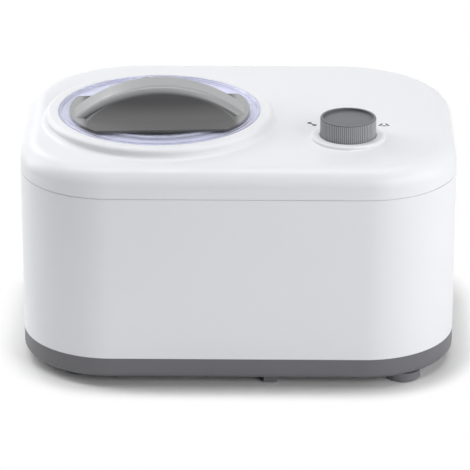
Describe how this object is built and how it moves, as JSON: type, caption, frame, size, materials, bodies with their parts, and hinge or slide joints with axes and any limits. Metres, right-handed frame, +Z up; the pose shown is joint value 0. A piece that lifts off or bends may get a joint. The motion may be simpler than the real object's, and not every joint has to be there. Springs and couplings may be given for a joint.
{
  "type": "yogurt maker",
  "caption": "Countertop self-cooling yogurt and frozen dessert maker with a lift-out bowl under a clear lid with an arched grip, a churning paddle and a mode knob.",
  "frame": {"origin": "on the table, under the middle of the housing's footprint", "axes": "+X to the right along the width, +Y to the back, +Z up; the knob and lid are on top and the flat front faces -Y"},
  "size_m": [0.37, 0.275, 0.2332],
  "materials": {
    "white_abs": "satin moulded",
    "grey_abs": "fine satin moulded",
    "grip_grey": "metallic satin moulded",
    "knob_grey": "satin moulded, fluted",
    "clear_plastic": "clear moulded polycarbonate",
    "silicone": "matt silicone",
    "black_rubber": "matt rubber",
    "dark_rubber": "matt rubber",
    "anodised_aluminium": "satin drawn sheet",
    "plain_aluminium": "mill finish",
    "steel": "zinc plated",
    "paddle_plastic": "moulded polypropylene",
    "gear_plastic": "moulded acetal",
    "bronze": "sintered bronze",
    "copper": "drawn copper tube",
    "foam": "moulded polyurethane foam",
    "heater_silicone": "silicone heating mat",
    "black_plastic": "moulded",
    "dark_plastic": "moulded",
    "black_enamel": "black stoving enamel",
    "motor_steel": "dark zinc",
    "board_green": "solder mask",
    "board_parts": "moulded components",
    "winding": "enamelled copper wire"
  },
  "bodies": {
    "housing": {"base_tray": "grey_abs", "body_shell": "white_abs", "top_cover": "white_abs", "rubber_feet": "dark_rubber", "foot_screws": "steel", "tie_screws": "steel", "well": "plain_aluminium", "well_screws": "steel", "evaporator_coil": "copper", "heater_band": "heater_silicone", "temperature_sensor": "black_plastic", "insulation": "foam", "shaft_bushes": "bronze", "shaft_seal": "black_rubber", "idler_pin": "steel", "motor_can": "motor_steel", "motor_screws": "steel", "gearbox_base": "dark_plastic", "gearbox_cover": "dark_plastic", "gearbox_screws": "steel", "compressor": "black_enamel", "compressor_plate": "black_enamel", "compressor_grommets": "black_rubber", "compressor_bolts": "steel", "relay_cover": "black_plastic", "condenser": "plain_aluminium", "fan_frame": "black_plastic", "fan_stator": "winding", "fan_screws": "steel", "filter_drier": "copper", "discharge_line": "copper", "liquid_line": "copper", "capillary_tube": "copper", "suction_line": "copper", "rotary_switch": "dark_plastic", "switch_nut": "steel", "control_board": "board_green", "board_parts": "board_parts", "board_screws": "steel", "cord_gland": "black_rubber"},
    "bowl": {"bowl": "anodised_aluminium"},
    "lid": {"clear_lid": "clear_plastic", "lid_seal": "silicone", "lid_grip": "grip_grey", "grip_screws": "steel"},
    "paddle": {"paddle": "paddle_plastic"},
    "shaft": {"drive_shaft": "steel", "output_gear": "gear_plastic"},
    "idler": {"idler_gear": "gear_plastic"},
    "motor": {"motor_rotor": "steel", "motor_pinion": "gear_plastic"},
    "fan": {"fan_rotor": "black_plastic"},
    "knob": {"selector_knob": "knob_grey", "knob_cap": "knob_grey", "switch_spindle": "steel"}
  },
  "joints": [
    {"name": "bowl_lift", "type": "slide", "parent": "housing", "child": "bowl", "axis": [0, 0, 1], "range_m": [0, 0.14]},
    {"name": "lid_lift", "type": "slide", "parent": "bowl", "child": "lid", "axis": [0, 0, 1], "range_m": [0, 0.06]},
    {"name": "shaft_spin", "type": "hinge", "parent": "housing", "child": "shaft", "pos_m": [-0.0683, -0.0137, 0.12], "axis": [0, 0, 1], "continuous": true},
    {"name": "paddle_spin", "type": "hinge", "parent": "bowl", "child": "paddle", "pos_m": [-0.0683, -0.0137, 0.12], "axis": [0, 0, 1], "continuous": true},
    {"name": "idler_spin", "type": "hinge", "parent": "housing", "child": "idler", "pos_m": [-0.0683, 0.03255, 0.06], "axis": [0, 0, 1], "continuous": true},
    {"name": "motor_spin", "type": "hinge", "parent": "housing", "child": "motor", "pos_m": [-0.04145, 0.04805, 0.04], "axis": [0, 0, 1], "continuous": true},
    {"name": "fan_spin", "type": "hinge", "parent": "housing", "child": "fan", "pos_m": [0.034, 0.1162, 0.078], "axis": [0, 1, 0], "continuous": true},
    {"name": "knob_turn", "type": "hinge", "parent": "housing", "child": "knob", "pos_m": [0.0928, -0.0574, 0.2], "axis": [0, 0, 1], "range_deg": [-50, 50]}
  ],
  "couplings": [
    {"joint": "paddle_spin", "follows": "shaft_spin", "ratio": 1},
    {"joint": "idler_spin", "follows": "shaft_spin", "ratio": -4.2857},
    {"joint": "motor_spin", "follows": "shaft_spin", "ratio": 14.694}
  ]
}
